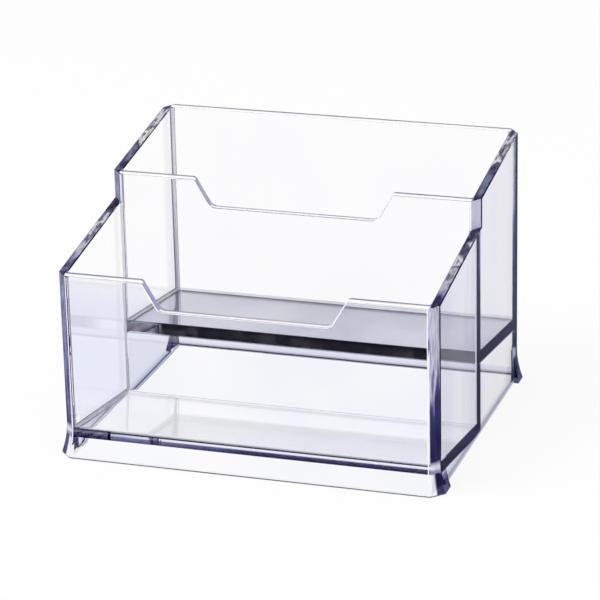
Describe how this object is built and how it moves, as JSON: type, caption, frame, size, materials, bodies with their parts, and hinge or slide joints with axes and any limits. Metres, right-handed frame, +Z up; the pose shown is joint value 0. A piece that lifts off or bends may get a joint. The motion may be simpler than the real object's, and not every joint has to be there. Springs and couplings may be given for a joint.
{
  "type": "business card holder stand",
  "caption": "Clear plastic two-tier business card holder: stepped bevelled side walls, sloping pocket floors, thumb notches in the front wall and the divider, and flared feet.",
  "frame": {"origin": "on the desk, under the middle of the holder", "axes": "+X across the holder to the right of someone facing it, +Y from the front to the back, +Z up"},
  "size_m": [0.1012, 0.0852, 0.069],
  "materials": {
    "clear_plastic": "clear, polished"
  },
  "bodies": {
    "root": {"front_panel": "clear_plastic", "divider_panel": "clear_plastic", "back_panel": "clear_plastic", "left_side_panel": "clear_plastic", "right_side_panel": "clear_plastic", "front_pocket_floor": "clear_plastic", "rear_pocket_floor": "clear_plastic", "front_left_foot": "clear_plastic", "front_right_foot": "clear_plastic", "rear_left_foot": "clear_plastic", "rear_right_foot": "clear_plastic"}
  },
  "joints": []
}
